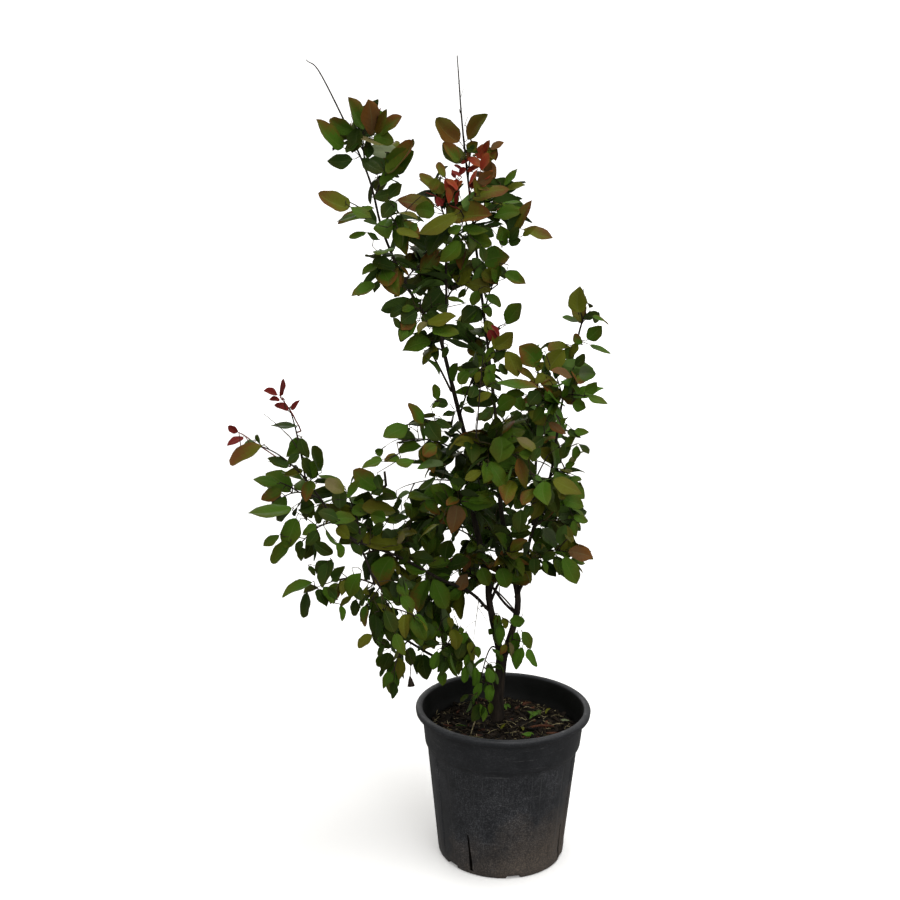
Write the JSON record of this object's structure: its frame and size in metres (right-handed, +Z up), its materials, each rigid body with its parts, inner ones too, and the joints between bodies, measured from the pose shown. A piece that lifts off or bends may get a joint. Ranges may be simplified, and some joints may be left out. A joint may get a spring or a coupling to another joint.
{
  "type": "potted crape myrtle",
  "caption": "Young multi-stemmed crape myrtle in leaf, standing in its round black nursery pot filled with potting soil.",
  "frame": {"origin": "middle of the pot's flat underside", "axes": "+Z up, -Y towards the side that the picture shows, +X to the right as seen from that side"},
  "size_m": [0.5993, 0.5054, 1.3421],
  "materials": {
    "pot_plastic": "dusty black moulded plastic",
    "potting_soil": "dark bark and peat litter",
    "bark": "thin dark brown bark",
    "foliage": "glossy green leaves with red-brown young tips"
  },
  "bodies": {
    "root": {"pot": "pot_plastic", "soil": "potting_soil", "hanging_bough": "bark", "left_bough": "bark", "left_stem": "bark", "low_bough": "bark", "middle_stem": "bark", "rear_shoot": "bark", "right_shoot": "bark", "right_stem": "bark", "trunk": "bark", "upper_left_stem": "bark", "hanging_bough_foliage_1": "foliage", "hanging_bough_foliage_2": "foliage", "hanging_bough_foliage_3": "foliage", "left_bough_foliage_1": "foliage", "left_bough_foliage_2": "foliage", "left_bough_foliage_3": "foliage", "left_bough_foliage_4": "foliage", "left_bough_foliage_5": "foliage", "left_bough_foliage_6": "foliage", "left_stem_foliage_1": "foliage", "left_stem_foliage_2": "foliage", "left_stem_foliage_3": "foliage", "left_stem_foliage_4": "foliage", "left_stem_foliage_5": "foliage", "left_stem_foliage_6": "foliage", "left_stem_foliage_7": "foliage", "left_stem_foliage_8": "foliage", "left_stem_foliage_9": "foliage", "low_bough_foliage_1": "foliage", "low_bough_foliage_2": "foliage", "middle_stem_foliage_1": "foliage", "middle_stem_foliage_2": "foliage", "middle_stem_foliage_3": "foliage", "rear_shoot_foliage_1": "foliage", "rear_shoot_foliage_2": "foliage", "right_shoot_foliage_1": "foliage", "right_shoot_foliage_2": "foliage", "right_shoot_foliage_3": "foliage", "right_shoot_foliage_4": "foliage", "right_shoot_foliage_5": "foliage", "right_shoot_foliage_6": "foliage", "right_stem_foliage_1": "foliage", "right_stem_foliage_2": "foliage", "right_stem_foliage_3": "foliage", "right_stem_foliage_4": "foliage", "right_stem_foliage_5": "foliage", "right_stem_foliage_6": "foliage", "right_stem_foliage_7": "foliage", "right_stem_foliage_8": "foliage", "trunk_foliage_1": "foliage", "trunk_foliage_2": "foliage", "upper_left_stem_foliage_1": "foliage", "upper_left_stem_foliage_2": "foliage", "upper_left_stem_foliage_3": "foliage", "upper_left_stem_foliage_4": "foliage", "upper_left_stem_foliage_5": "foliage", "upper_left_stem_foliage_6": "foliage", "upper_left_stem_foliage_7": "foliage"}
  },
  "joints": []
}
